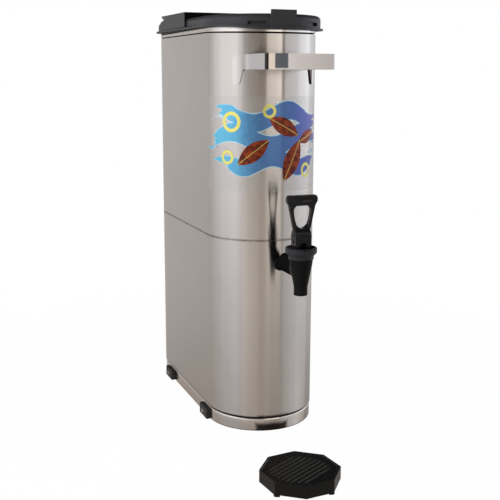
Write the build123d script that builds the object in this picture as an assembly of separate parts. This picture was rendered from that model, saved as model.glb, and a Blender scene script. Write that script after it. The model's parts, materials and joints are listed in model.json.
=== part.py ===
from build123d import *
import math
import os

# Iced tea dispenser: a narrow steel urn on its own pedestal, with a self-closing tap and a carrying
# handle at the front, a lift-off plastic lid and a loose octagonal drip tray.
# Millimetres. The origin is on the counter under the middle of the body; +Z is up, the tap faces -Y.

# Body: two steel wraps of one stadium plan, one above the other
body_radius = 75.0            # half the width, and the radius of both round ends
body_straight = 208.6         # length of each flat side
shell_wall = 0.8
band_top = 20.7               # lower edge of the lower wrap, above the base band
seam_z = 266.4                # where the two wraps meet
shell_top = 534.6             # upper edge of the upper wrap
seam_gap = 0.4
slip = 0.1                    # clearance of sheet metal that slides into sheet metal
over = 1.0                    # how far a cutter runs past what it cuts
weld = 0.5                    # how far two regions of one moulding run into each other
touch = 0.01                  # an edge this near a plane lies in it

# Base pan, and the ring that joins the two wraps
pan_wall = 1.2
pan_height = 34.0
pan_edge_round = 2.0
ring_half_height = 12.0
ring_wall = 0.8

# Tank: an inner vessel that hangs in the wraps by its rim
tank_gap = 2.2                # air gap between wrap and tank
tank_wall = 1.0
tank_floor_drop = 16.0        # from the tap's shank down to the outside of the floor at mid length
tank_floor_fall = 8.0         # how much lower the floor lies at the tap end
rim_overhang = 0.2            # how far the rolled rim stands out past the wrap
rim_groove = 1.4              # height and depth of the dark groove under the rim
rim_height = 3.2
rim_round = 1.5

# Rubber feet on the flat sides, each held by one rivet
foot_length = 30.0
foot_height = 15.5
foot_stand_out = 5.0          # past the wraps
foot_round = 1.6
foot_front_y = -92.0
foot_rear_y = 84.0
rivet_z = 8.0
rivet_shank_radius = 2.0
rivet_head_radius = 3.4
rivet_head_height = 1.2
rivet_head_round = 0.84
rivet_tail_radius = 2.72
rivet_hole_gap = 0.1

# Front handle: one bent steel strap whose ends are spot welded to the upper wrap
strap_height = 19.0
strap_drop = 28.1             # from the top of the wraps to the strap
strap_thickness = 2.0
strap_half_width = 45.7
strap_reach = 63.0            # from the front of the wrap to the front of the strap
strap_bend = 3.6              # outer radius of each bend
tab_thickness = 1.8
tab_angle = 42.0              # degrees round the front end from its middle
tab_outer_side = 8.5          # from the tab's middle line to its free edge
tab_drop = 19.1               # below the strap
tab_foot_width = 9.5
tab_neck = 6.2
tab_crown_round = 9.0
tab_toe_round = 4.2
tab_neck_round = 1.8
gusset = 4.0                  # radius of the flare where each leg runs down into its tab

# Label film round the front end
label_thickness = 0.3
label_glue = 0.05
label_above_seam = 64.6
label_height = 122.7
label_edge_gap = 4.0          # from where the front end starts to curve

# Lid: its heights are above the top of the tank's rim
lid_shift = 1.5               # it sits this far off centre on the rim, within its play
lid_overhang = 4.8            # past the tank's rim
lid_flange_width = 3.5
lid_flange_thickness = 2.4
lid_flange_lift = 0.9         # lower face of the flange at mid length
lid_flange_rise = 5.0         # how much higher the flange lies at the rear end
lid_height = 17.4
lid_wall = 2.5
lid_edge_round = 5.5
lid_seat_width = 2.6
lid_seat_proud = 0.8          # past the tank's rim
lid_seat_gap = 0.2
lid_skirt_play = 1.8
lid_skirt_wall = 1.8
lid_skirt_depth = 9.0         # below the rim's top

# Raised grip block across the lid, with a finger groove under its rear lip. It stands on the lid's top.
block_front_y = -28.0
block_rear_y = 88.0
block_height = 8.5
block_stand_out = 2.7
block_lip = 2.4
block_end_margin = 10.0       # from the lid's rim to the hollow inside the block
groove_depth = 10.0
groove_end = 95.0
groove_top_fall = 2.2         # how far the lip's underside slopes down inwards
groove_floor_rise = 2.4       # above the lid's top at the groove's back
groove_floor_sink = 0.2       # below the lid's top where the floor runs out

# Upright thumb tab at the lid's front, and the slots in its rim
thumb_half_width = 17.0
thumb_height = 4.8            # above the lid's top
thumb_thickness = 4.0
thumb_proud = 0.8
slot_angles = (-25.2, 37.0)
slot_width = 23.0
slot_height = 4.4
slot_lift = 3.6               # above the tank's rim

# Tap: body, bonnet, valve and handle. Its upright axis stands in front of the wall.
# Heights of the body and the valve's seat are counted from the shank's middle line.
tap_reach = 69.2
shank_below_seam = 32.4
shank_radius = 6.35
shank_bore_radius = 4.0
shank_length = 30.0           # inside the wall
shank_hole_gap = 0.3
tank_hole_gap = 1.95          # the tank's own hole is wide, and the inner gasket covers it
horn_root_radius = 6.6
horn_neck = 15.0              # from the flange to where the horn has its full height
horn_half_height = 12.3
horn_half_width = 9.0
horn_end_half_width = 10.6
horn_lift = 6.6               # from the shank up to the middle of the horn's full height
passage_climb = 9.6           # how much higher the tea enters the barrel than the shank
horn_end_gap = 7.535          # from the tap's axis to the horn's end inside the barrel
horn_bore_radius = 3.8
tap_flange_radius = 8.0
tap_flange_thickness = 2.6
spout_drop = 25.5
spout_radius = 8.8
spout_bore_radius = 6.8
barrel_knee_drop = 14.5
barrel_mid_rise = 1.5
barrel_mid_radius = 11.9
barrel_shoulder_rise = 13.5
barrel_shoulder_radius = 14.2
barrel_top_radius = 15.2
chamber_radius = 11.5
chamber_rise = 10.0           # top of the valve seat's cone
seat_drop = 3.0               # foot of the valve seat's cone

gasket_radius = 7.7
gasket_thickness = 2.0
inner_gasket_radius = 11.0
inner_gasket_thickness = 2.5
nut_across_flats = 20.0
nut_thickness = 8.0
nut_gap = 0.1
nut_back_gap = 0.1

collar_rise = 21.4            # underside of the bonnet
collar_height = 14.6
collar_radius = 20.0
collar_foot_radius = 16.0     # of the short upright skirt under the collar
collar_foot_height = 3.8
collar_flare = 4.2            # height over which the collar widens from its skirt
collar_round = 1.6
spigot_radius = 14.0
spigot_height = 8.6
thread_gap = 0.1
bonnet_plate = 2.6
bonnet_recess_radius = 17.4
notch_width = 3.0
notch_depth = 2.2
notch_x = -3.6

stem_radius = 2.5
stem_fit = 0.08
stem_foot_radius = 6.0
stem_foot_height = 1.2
stem_stud = 2.2
eye_width = 8.0
eye_depth = 7.0
eye_above_pin = 3.6
eye_below_pin = 5.0
eye_round = 3.0
pin_above_collar = 7.5
pin_radius = 1.5
pin_press = 0.02
pin_fit = 0.08
pin_end_gap = 0.6             # each end of the pin lies this deep in the handle
valve_gap = 0.32
valve_rise = 1.0              # from the foot of the seat's cone to the cup's foot
cup_radius = 8.6
cup_wall = 1.4
cup_floor = 4.0
cup_height = 18.0
washer_thickness = 0.8
washer_radius = 6.9
spring_radius = 5.6
spring_wire = 1.1
spring_turns = 7
spring_end_gap = 0.15

# The handle's heights are counted from its pin
lever_rise = 58.1
lever_bar_half = 20.5
lever_bar_height = 13.0
lever_bar_end_rise = 5.0      # from the bar's underside to where its ends stand upright
lever_bar_round = 4.6
lever_under_bar_half = 17.5
lever_waist_half = 11.0
lever_waist_rise = 14.7
lever_foot_half = 10.5
lever_foot_drop = 10.1
lever_depth = 6.5
lever_base_depth = 15.0
lever_base_drop = 2.0         # from the waist to the top of the deep base
lever_shoulder_height = 5.0
lever_shoulder_taper = 40.0
lever_shoulder_proud = 0.3
lever_foot_round = 2.4
lever_hole_top_rise = 44.9
lever_hole_half = 10.8
lever_hole_mid_rise = 25.5
lever_hole_mid_half = 8.6
lever_hole_foot_rise = 16.4
lever_hole_round = 3.4
lever_hole_toe_round = 2.6
eye_slot_gap = 0.4
eye_slot_head = 7.0           # slot height above the pin

# Drip tray, loose on the counter in front of the tap
tray_x = -37.5
tray_ahead = 88.7             # from the tap's axis to the tray's middle
tray_turn = -15.5             # degrees: direction of one corner
tray_radius = 49.7            # centre to corner
tray_height = 18.8
tray_lift = 2.8               # the cup's floor stands this high on its feet
tray_wall = 2.2
tray_floor = 2.0
tray_sides = 8
tray_foot_size = 7.0
tray_foot_inset = 3.85        # from a corner of the tray to the middle of its foot
ledge_width = 3.0
ledge_height = 2.0
grille_top_drop = 1.4         # below the cup's edge
grille_thickness = 2.4
grille_gap = 0.4
grille_seat_gap = 0.2
grille_rib = 3.4
grille_slot = 3.2
grille_slots = 9
grille_border = 6.0
grille_turn = 30.0            # degrees: direction of the ribs

# Worked out: body and tank
half_straight = body_straight / 2
wall_front_y = -(half_straight + body_radius)
shell_inner = body_radius - shell_wall
tank_radius = shell_inner - tank_gap
tank_inner = tank_radius - tank_wall
tank_inner_front_y = -(half_straight + tank_inner)
pan_radius = shell_inner - slip
foot_outer = body_radius + foot_stand_out
rim_radius = body_radius + rim_overhang
rim_bottom_z = shell_top + rim_groove
rim_top_z = rim_bottom_z + rim_height
shank_z = seam_z - shank_below_seam
tank_floor_z = shank_z - tank_floor_drop

# Worked out: front handle and label
strap_top_z = shell_top - strap_drop
strap_bottom_z = strap_top_z - strap_height
label_bottom_z = seam_z + label_above_seam
label_top_z = label_bottom_z + label_height

# Worked out: lid
lid_rim_radius = rim_radius + lid_overhang
lid_flange_radius = lid_rim_radius + lid_flange_width
lid_flange_z = rim_top_z + lid_flange_lift
lid_rest_z = rim_top_z + lid_seat_gap
lid_top_z = rim_top_z + lid_height
lid_plate_z = lid_top_z - lid_wall
lid_seat_outer = rim_radius + lid_seat_proud
block_top_z = lid_top_z + block_height
thumb_top_z = lid_top_z + thumb_height
slot_bottom_z = rim_top_z + slot_lift

# Worked out: tap
tap_y = wall_front_y - tap_reach
passage_end_z = shank_z + passage_climb
spout_z = shank_z - spout_drop
barrel_knee_z = shank_z - barrel_knee_drop
barrel_mid_z = shank_z + barrel_mid_rise
barrel_shoulder_z = shank_z + barrel_shoulder_rise
chamber_z = shank_z + chamber_rise
seat_z = shank_z - seat_drop
valve_foot_z = seat_z + valve_rise
collar_z = shank_z + collar_rise
collar_top_z = collar_z + collar_height
bonnet_plate_z = collar_z + spigot_height + thread_gap
pin_z = collar_top_z + pin_above_collar
lever_top_z = pin_z + lever_rise
lever_waist_z = pin_z + lever_waist_rise
lever_foot_z = pin_z - lever_foot_drop
lever_hole_top_z = pin_z + lever_hole_top_rise
lever_hole_mid_z = pin_z + lever_hole_mid_rise
lever_hole_foot_z = pin_z + lever_hole_foot_rise

# Worked out: drip tray
tray_y = tap_y - tray_ahead


# A closed prism of the body's stadium plan, with another end radius
def stadium(radius, low, high):
    plan = SlotCenterToCenter(body_straight, 2 * radius, rotation=90)
    return extrude(Pos(0, 0, low) * plan, high - low)


# A round bar along Y, from one y to another
def bar_y(radius, x, z, low, high):
    middle = (low + high) / 2
    return Pos(x, middle, z) * Rot(90, 0, 0) * Cylinder(radius, high - low)


# A round bar along X, from one x to another
def bar_x(radius, y, z, low, high):
    middle = (low + high) / 2
    return Pos(middle, y, z) * Rot(0, 90, 0) * Cylinder(radius, high - low)


# A solid turned about the tap's upright axis from points of radius and height
def turned(points):
    outline = make_face(Polyline([(r, 0, z) for r, z in points], close=True))
    return Pos(0, tap_y, 0) * revolve(outline, Axis.Z)


# A box from its low corner to its high corner
def block(low, high):
    size = [b - a for a, b in zip(low, high)]
    middle = [(a + b) / 2 for a, b in zip(low, high)]
    return Pos(*middle) * Box(*size)


# The part of a solid above a plane that rises by `rise` over the body's length
def above_slope(solid, mid_z, rise):
    angle = math.atan(-rise / (2 * wall_front_y))
    plane = Plane(origin=(0, 0, mid_z), z_dir=(0, -math.sin(angle), math.cos(angle)))
    return split(solid, bisect_by=plane, keep=Keep.TOP)


def shank_hole(gap):
    hole_radius = shank_radius + gap
    return bar_y(hole_radius, 0, shank_z, wall_front_y - over, tank_inner_front_y + hole_radius)


def make_lower_shell():
    outer = stadium(body_radius, band_top, seam_z - seam_gap / 2)
    return outer - stadium(shell_inner, 0, seam_z) - shank_hole(shank_hole_gap)


def make_upper_shell():
    outer = stadium(body_radius, seam_z + seam_gap / 2, shell_top)
    return outer - stadium(shell_inner, seam_z - over, shell_top + over)


# The ring is a slide fit in both wraps and stops clear of the tap's shank
def make_joining_ring():
    low = seam_z - ring_half_height
    high = seam_z + ring_half_height
    ring_radius = shell_inner - slip
    return stadium(ring_radius, low, high) - stadium(ring_radius - ring_wall, low - over, high + over)


def make_base_pan():
    pan = stadium(pan_radius, 0, pan_height)
    pan = fillet(pan.edges().filter_by(lambda e: abs(e.center().Z) < touch), pan_edge_round)
    pan -= stadium(pan_radius - pan_wall, pan_wall, pan_height + over)
    for side in (-1, 1):
        for y in (foot_front_y, foot_rear_y):
            ends = sorted((side * (pan_radius - pan_wall - over), side * (pan_radius + over)))
            pan -= bar_x(rivet_shank_radius + rivet_hole_gap, y, rivet_z, *ends)
    return pan


def make_tank():
    outer = above_slope(stadium(tank_radius, 0, rim_top_z), tank_floor_z, tank_floor_fall)
    seat = stadium(rim_radius - rim_groove, shell_top, rim_bottom_z)
    rim = stadium(rim_radius, rim_bottom_z, rim_top_z)
    rim = fillet(rim.edges().filter_by(lambda e: abs(e.center().Z - rim_top_z) < touch), rim_round)
    cavity = stadium(tank_inner, 0, rim_top_z + over)
    cavity = above_slope(cavity, tank_floor_z + tank_wall, tank_floor_fall)
    return outer + seat + rim - cavity - shank_hole(tank_hole_gap)


# Each foot is a block whose back follows the base band
def make_foot(side, y):
    inner = pan_radius - foot_stand_out
    low = (min(side * inner, side * foot_outer), y - foot_length / 2, 0)
    high = (max(side * inner, side * foot_outer), y + foot_length / 2, foot_height)
    foot = block(low, high)
    outer_edges = foot.edges().filter_by(lambda e: abs(abs(e.center().X) - foot_outer) < touch)
    foot = fillet(outer_edges, foot_round)
    foot -= stadium(pan_radius, -over, foot_height + over)
    hole_ends = sorted((side * inner, side * (foot_outer + over)))
    return foot - bar_x(rivet_shank_radius + rivet_hole_gap, y, rivet_z, *hole_ends)


def make_foot_rivets():
    rivets = []
    tail = pan_radius - pan_wall
    for side in (-1, 1):
        for y in (foot_front_y, foot_rear_y):
            shank = bar_x(rivet_shank_radius, y, rivet_z, *sorted((side * tail, side * foot_outer)))
            head_end = foot_outer + rivet_head_height
            head = bar_x(rivet_head_radius, y, rivet_z, *sorted((side * foot_outer, side * head_end)))
            rim = head.edges().filter_by(lambda e: abs(abs(e.center().X) - head_end) < touch)
            head = fillet(rim, rivet_head_round)
            tail_end = tail - rivet_head_height
            clinch = bar_x(rivet_tail_radius, y, rivet_z, *sorted((side * tail_end, side * tail)))
            rivets.append(shank + head + clinch)
    return Compound(children=rivets)


# A teardrop tab that lies on the wall outside the strap's end
def make_handle_tab():
    angle = math.radians(tab_angle)
    plane = Plane(
        origin=(0, -half_straight, 0),
        x_dir=(math.cos(angle), math.sin(angle), 0),
        z_dir=(math.sin(angle), -math.cos(angle), 0),
    )
    leg_angle = math.asin((strap_half_width - strap_thickness) / body_radius)
    root = body_radius * math.sin(leg_angle - angle)
    toe_z = strap_bottom_z - tab_drop
    outline = FilletPolyline(
        (root, strap_top_z),
        (tab_outer_side, strap_top_z),
        (tab_outer_side, toe_z),
        (tab_outer_side - tab_foot_width, toe_z),
        (-tab_neck, strap_bottom_z),
        (root, strap_bottom_z),
        radius=[tab_crown_round, tab_toe_round, tab_toe_round, tab_neck_round],
    )
    closing = Line((root, strap_bottom_z), (root, strap_top_z))
    face = plane * make_face([outline, closing])
    cutter = extrude(face, body_radius + 3 * tab_thickness)
    skin = stadium(body_radius + tab_thickness, toe_z, strap_top_z)
    skin -= stadium(body_radius, toe_z - over, strap_top_z + over)
    return skin & cutter


def make_front_handle():
    front = wall_front_y - strap_reach
    back = -half_straight - body_radius / 2
    outer = block((-strap_half_width, front, strap_bottom_z), (strap_half_width, back, strap_top_z))
    outer = fillet(
        outer.edges().filter_by(Axis.Z).filter_by(lambda e: abs(e.center().Y - front) < touch), strap_bend
    )
    inner_half = strap_half_width - strap_thickness
    inner = block(
        (-inner_half, front + strap_thickness, strap_bottom_z - over),
        (inner_half, back + over, strap_top_z + over),
    )
    inner_edges = inner.edges().filter_by(Axis.Z)
    inner_front = inner_edges.filter_by(lambda e: abs(e.center().Y - front - strap_thickness) < touch)
    inner = fillet(inner_front, strap_bend - strap_thickness)
    leg_y = -half_straight - math.sqrt(body_radius ** 2 - strap_half_width ** 2)
    flare = block(
        (inner_half, leg_y - gusset, strap_bottom_z - gusset),
        (strap_half_width, leg_y + gusset, strap_bottom_z),
    )
    flare -= bar_x(gusset, leg_y - gusset, strap_bottom_z - gusset, 0, body_radius)
    strap = outer + flare + mirror(flare, about=Plane.YZ) - inner
    strap -= stadium(body_radius, strap_bottom_z - 2 * gusset, strap_top_z + over)
    tab = make_handle_tab()
    return strap + tab + mirror(tab, about=Plane.YZ)


def make_front_label():
    film = stadium(body_radius + label_glue + label_thickness, label_bottom_z, label_top_z)
    film -= stadium(body_radius + label_glue, label_bottom_z - over, label_top_z + over)
    edge_y = -half_straight - label_edge_gap
    keep_half = body_radius + over
    keep = block((-keep_half, wall_front_y - over, label_bottom_z), (keep_half, edge_y, label_top_z))
    return film & keep


# The grip block across the lid, with the groove under its rear lip, cut off at the flange
def make_grip_block():
    groove_y = block_rear_y - groove_depth
    lip_z = block_top_z - block_lip
    outline = [
        (block_front_y, 0),
        (block_front_y, block_top_z),
        (block_rear_y, block_top_z),
        (block_rear_y, lip_z),
        (groove_y, lip_z - groove_top_fall),
        (groove_y, lid_top_z + groove_floor_rise),
        (groove_end, lid_top_z - groove_floor_sink),
        (groove_end, 0),
    ]
    block_half = lid_rim_radius + block_stand_out
    face = make_face(Polyline([(-block_half, y, z) for y, z in outline], close=True))
    grip = extrude(face, 2 * block_half, dir=(1, 0, 0))
    return above_slope(grip, lid_flange_z + weld, lid_flange_rise)


def make_lid():
    low = lid_rest_z - lid_skirt_depth
    rim = stadium(lid_rim_radius, low, lid_top_z)
    rim = fillet(rim.edges().filter_by(lambda e: abs(e.center().Z - lid_top_z) < touch), lid_edge_round)
    flange = stadium(lid_flange_radius, low, lid_top_z)
    flange_top = above_slope(flange, lid_flange_z + lid_flange_thickness, lid_flange_rise)
    lid = rim + (flange - flange_top)
    lid = above_slope(lid, lid_flange_z, lid_flange_rise)
    lid += make_grip_block()
    thumb_y = -half_straight - lid_rim_radius - thumb_proud
    lid += block(
        (-thumb_half_width, thumb_y, lid_flange_z),
        (thumb_half_width, thumb_y + thumb_thickness, thumb_top_z),
    )
    lid -= stadium(lid_rim_radius - lid_wall, low - over, lid_plate_z)
    hollow_half = lid_rim_radius - block_end_margin
    lid -= block(
        (-hollow_half, block_front_y + lid_wall, low),
        (hollow_half, block_rear_y - groove_depth - lid_wall, block_top_z - lid_wall),
    )
    lid += stadium(lid_seat_outer, lid_rest_z, lid_plate_z + weld) - stadium(
        lid_seat_outer - lid_seat_width, low, lid_plate_z + 2 * weld
    )
    skirt_outer = tank_inner - lid_skirt_play
    lid += stadium(skirt_outer, low, lid_plate_z + weld) - stadium(
        skirt_outer - lid_skirt_wall, low - over, lid_plate_z + 2 * weld
    )
    cutter_depth = 2 * (lid_rim_radius - lid_seat_outer - slip)
    cutter = Pos(0, -lid_rim_radius, slot_bottom_z + slot_height / 2) * Box(
        slot_width, cutter_depth, slot_height
    )
    for slot_angle in slot_angles:
        slot = Pos(0, -half_straight, 0) * Rot(0, 0, slot_angle) * cutter
        lid -= slot
        lid -= Rot(0, 0, 180) * slot
    return Pos(lid_shift, 0, 0) * lid


# A lofted horn from the wall up to the barrel
def horn(start_y):
    neck_y = start_y - horn_neck
    end_y = tap_y + horn_end_gap
    middle_z = shank_z + horn_lift
    root = Plane(origin=(0, start_y, shank_z), z_dir=(0, -1, 0)) * Circle(horn_root_radius)
    sections = [root]
    for y, half_width in ((neck_y, horn_half_width), (end_y, horn_end_half_width)):
        upright = Plane(origin=(0, y, middle_z), x_dir=(1, 0, 0), z_dir=(0, -1, 0))
        sections.append(upright * Ellipse(half_width, horn_half_height))
    return loft(sections, ruled=True)


def make_tap_body():
    spigot_top = collar_z + spigot_height
    barrel = turned([
        (0, spout_z),
        (spout_radius, spout_z),
        (spout_radius, barrel_knee_z),
        (barrel_mid_radius, barrel_mid_z),
        (barrel_shoulder_radius, barrel_shoulder_z),
        (barrel_top_radius, collar_z - thread_gap),
        (spigot_radius, collar_z - thread_gap),
        (spigot_radius, spigot_top),
        (0, spigot_top),
    ])
    flange_y = wall_front_y - gasket_thickness
    body = barrel + horn(flange_y)
    body += bar_y(tap_flange_radius, 0, shank_z, flange_y - tap_flange_thickness, flange_y)
    shank_end = tank_inner_front_y + shank_length
    body += bar_y(shank_radius, 0, shank_z, flange_y - weld, shank_end)
    bore = turned([
        (0, spout_z - over),
        (spout_bore_radius, spout_z - over),
        (spout_bore_radius, seat_z),
        (chamber_radius, chamber_z),
        (chamber_radius, spigot_top + over),
        (0, spigot_top + over),
    ])
    bend_y = flange_y - gasket_thickness
    body -= bore
    body -= bar_y(shank_bore_radius, 0, shank_z, bend_y, shank_end + over)
    climb = Vector(0, tap_y + stem_foot_radius, passage_end_z) - Vector(0, bend_y, shank_z)
    start = Vector(0, bend_y, shank_z) - climb.normalized() * gasket_thickness
    passage = Plane(origin=start, z_dir=climb) * Circle(horn_bore_radius)
    return body - extrude(passage, climb.length + gasket_thickness)


# The outer gasket's back follows the round wall
def make_outer_gasket():
    front = wall_front_y - gasket_thickness
    back = wall_front_y + gasket_thickness
    ring = bar_y(gasket_radius, 0, shank_z, front, back)
    ring -= bar_y(shank_radius + slip, 0, shank_z, front - over, back + over)
    return ring - stadium(body_radius, shank_z - gasket_radius - over, shank_z + gasket_radius + over)


def make_inner_gasket():
    front = tank_inner_front_y - over
    back = tank_inner_front_y + inner_gasket_thickness
    ring = bar_y(inner_gasket_radius, 0, shank_z, front, back)
    ring -= bar_y(shank_radius + slip, 0, shank_z, front - over, back + over)
    reach = inner_gasket_radius + over
    return ring & stadium(tank_inner, shank_z - reach, shank_z + reach)


def make_shank_nut():
    start = tank_inner_front_y + inner_gasket_thickness + nut_back_gap
    hexagon = RegularPolygon(nut_across_flats / 2, 6, major_radius=False)
    nut = extrude(Plane(origin=(0, start, shank_z), z_dir=(0, 1, 0)) * hexagon, nut_thickness)
    return nut - bar_y(shank_radius + nut_gap, 0, shank_z, start - over, start + nut_thickness + over)


def make_tap_bonnet():
    flare_z = collar_z + collar_foot_height
    bonnet = turned([
        (0, collar_z),
        (collar_foot_radius, collar_z),
        (collar_foot_radius, flare_z),
        (collar_radius, flare_z + collar_flare),
        (collar_radius, collar_top_z),
        (0, collar_top_z),
    ])
    outer_rims = bonnet.edges().filter_by(GeomType.CIRCLE).filter_by(lambda e: e.center().Z > flare_z + touch)
    bonnet = fillet(outer_rims, collar_round)
    bonnet -= turned([
        (0, collar_z - over),
        (spigot_radius + thread_gap, collar_z - over),
        (spigot_radius + thread_gap, bonnet_plate_z),
        (0, bonnet_plate_z),
    ])
    recess_z = bonnet_plate_z + bonnet_plate
    bonnet -= turned([
        (0, recess_z),
        (bonnet_recess_radius, recess_z),
        (bonnet_recess_radius, collar_top_z + over),
        (0, collar_top_z + over),
    ])
    bonnet -= Pos(0, tap_y, bonnet_plate_z) * Cylinder(stem_radius + stem_fit, 3 * bonnet_plate)
    notch_reach = collar_radius - bonnet_recess_radius + over
    notch = Box(notch_width, 2 * notch_reach, 2 * notch_depth)
    return bonnet - Pos(notch_x, tap_y - collar_radius, collar_top_z) * notch


def make_seat_cup():
    slope = (chamber_radius - spout_bore_radius) / (chamber_z - seat_z)
    foot_radius = spout_bore_radius + valve_rise * slope - valve_gap
    knee_z = valve_foot_z + (cup_radius - foot_radius) / slope
    floor_z = valve_foot_z + cup_floor
    top_z = valve_foot_z + cup_height
    cup = turned([
        (0, valve_foot_z),
        (foot_radius, valve_foot_z),
        (cup_radius, knee_z),
        (cup_radius, top_z),
        (cup_radius - cup_wall, top_z),
        (cup_radius - cup_wall, floor_z),
        (0, floor_z),
    ])
    return cup - Pos(0, tap_y, floor_z) * Cylinder(stem_radius, 2 * stem_stud)


def make_tap_stem():
    floor_z = valve_foot_z + cup_floor
    eye_low = pin_z - eye_below_pin
    stem = turned([
        (0, floor_z - stem_stud),
        (stem_radius, floor_z - stem_stud),
        (stem_radius, floor_z),
        (stem_foot_radius, floor_z),
        (stem_foot_radius, floor_z + stem_foot_height),
        (stem_radius, floor_z + stem_foot_height),
        (stem_radius, eye_low + weld),
        (0, eye_low + weld),
    ])
    eye = block(
        (-eye_width / 2, tap_y - eye_depth / 2, eye_low),
        (eye_width / 2, tap_y + eye_depth / 2, pin_z + eye_above_pin),
    )
    eye = fillet(eye.edges().filter_by(Axis.X), eye_round)
    return stem + eye - bar_x(pin_radius + pin_press, tap_y, pin_z, -eye_width, eye_width)


def make_spring_washer():
    low = valve_foot_z + cup_floor + stem_foot_height
    ring = Cylinder(washer_radius, washer_thickness) - Cylinder(stem_radius + slip, 2 * washer_thickness)
    return Pos(0, tap_y, low + washer_thickness / 2) * ring


# One unbroken wire between the washer and the bonnet's plate
def make_tap_spring():
    low = valve_foot_z + cup_floor + stem_foot_height + washer_thickness + spring_end_gap
    high = bonnet_plate_z - spring_end_gap
    rise = high - low - spring_wire
    pitch = rise / spring_turns
    path = Helix(pitch, rise, spring_radius)
    section = Plane(origin=path @ 0, z_dir=path % 0) * Circle(spring_wire / 2)
    wire = sweep(section, path=path, is_frenet=True)
    return Pos(0, tap_y, low + spring_wire / 2) * wire


def make_handle_pin():
    half = lever_foot_half - pin_end_gap
    return bar_x(pin_radius, tap_y, pin_z, -half, half)


# The tap's handle: a flat loop under a T-bar, on a deeper base that straddles the stem's eye
def make_tap_handle():
    bar_low = lever_top_z - lever_bar_height
    bar_end_z = bar_low + lever_bar_end_rise
    outline = Polyline([
        (lever_foot_half, 0, lever_foot_z),
        (lever_waist_half, 0, lever_waist_z),
        (lever_under_bar_half, 0, bar_low),
        (lever_bar_half, 0, bar_end_z),
        (lever_bar_half, 0, lever_top_z),
        (-lever_bar_half, 0, lever_top_z),
        (-lever_bar_half, 0, bar_end_z),
        (-lever_under_bar_half, 0, bar_low),
        (-lever_waist_half, 0, lever_waist_z),
        (-lever_foot_half, 0, lever_foot_z),
    ], close=True)
    half_depth = lever_base_depth / 2
    full = extrude(make_face(outline), half_depth, dir=(0, 1, 0), both=True)
    corners = full.edges().filter_by(Axis.Y).filter_by(lambda e: e.center().Z > bar_low + touch)
    full = fillet(corners, lever_bar_round)
    wide = lever_bar_half + over
    base_z = lever_waist_z - lever_base_drop
    base = full & block((-wide, -half_depth, lever_foot_z), (wide, half_depth, base_z))
    feet = base.edges().filter_by(Axis.X).filter_by(lambda e: abs(e.center().Z - lever_foot_z) < touch)
    base = fillet(feet, lever_foot_round)
    loop = full & block((-wide, -lever_depth / 2, base_z - weld), (wide, lever_depth / 2, lever_top_z))
    shoulder_face = Rectangle(2 * (lever_waist_half + lever_shoulder_proud), lever_base_depth)
    shoulder = extrude(shoulder_face, lever_shoulder_height, taper=lever_shoulder_taper)
    side_round = lever_hole_round
    hole = make_face(FilletPolyline(
        (lever_hole_half, lever_hole_top_z),
        (lever_hole_mid_half, lever_hole_mid_z),
        (0, lever_hole_foot_z),
        (-lever_hole_mid_half, lever_hole_mid_z),
        (-lever_hole_half, lever_hole_top_z),
        radius=[side_round, side_round, lever_hole_toe_round, side_round, side_round],
        close=True,
    ))
    lever = base + loop + Pos(0, 0, base_z) * shoulder
    lever -= extrude(Plane.XZ * hole, lever_base_depth, both=True)
    slot_half = eye_width / 2 + eye_slot_gap
    slot_top = pin_z + eye_slot_head
    lever -= block((-slot_half, -lever_base_depth, 0), (slot_half, lever_base_depth, slot_top))
    return Pos(0, tap_y, 0) * lever - bar_x(pin_radius + pin_fit, tap_y, pin_z, -wide, wide)


# An upright prism of the tray's octagon, with another corner radius
def octagon(radius, low, high):
    plan = RegularPolygon(radius, tray_sides, rotation=tray_turn)
    return extrude(Pos(tray_x, tray_y, low) * plan, high - low)


def inset_radius(inset):
    return tray_radius - inset / math.cos(math.pi / tray_sides)


def make_tray_cup():
    cup = octagon(tray_radius, tray_lift, tray_height)
    cup -= octagon(inset_radius(tray_wall), tray_lift + tray_floor, tray_height + over)
    ledge_top = tray_height - grille_top_drop - grille_thickness - grille_seat_gap
    ledge = octagon(inset_radius(tray_wall) + weld, ledge_top - ledge_height, ledge_top)
    cup += ledge - octagon(inset_radius(tray_wall + ledge_width), tray_lift, tray_height)
    post_height = tray_lift + weld
    foot = Box(tray_foot_size, tray_foot_size, post_height, rotation=(0, 0, 45))
    for corner in range(1, tray_sides, 2):
        turn = Rot(0, 0, tray_turn + 360 / tray_sides * corner)
        place = Pos(tray_x, tray_y, 0) * turn * Pos(tray_radius - tray_foot_inset, 0, post_height / 2)
        cup += place * foot & octagon(tray_radius, 0, tray_height)
    return cup


def make_tray_grille():
    top = tray_height - grille_top_drop
    radius = inset_radius(tray_wall + grille_gap)
    plate = octagon(radius, top - grille_thickness, top)
    inner_reach = inset_radius(tray_wall + grille_gap + grille_border) * math.cos(math.pi / tray_sides)
    pitch = grille_rib + grille_slot
    for index in range(grille_slots):
        offset = (index - (grille_slots - 1) / 2) * pitch
        half = math.sqrt(inner_reach ** 2 - offset ** 2)
        place = Pos(tray_x, tray_y, top) * Rot(0, 0, grille_turn) * Pos(0, offset, 0)
        slot = SlotOverall(2 * half, grille_slot)
        plate -= place * extrude(slot, 2 * grille_thickness, both=True)
    return plate


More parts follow.
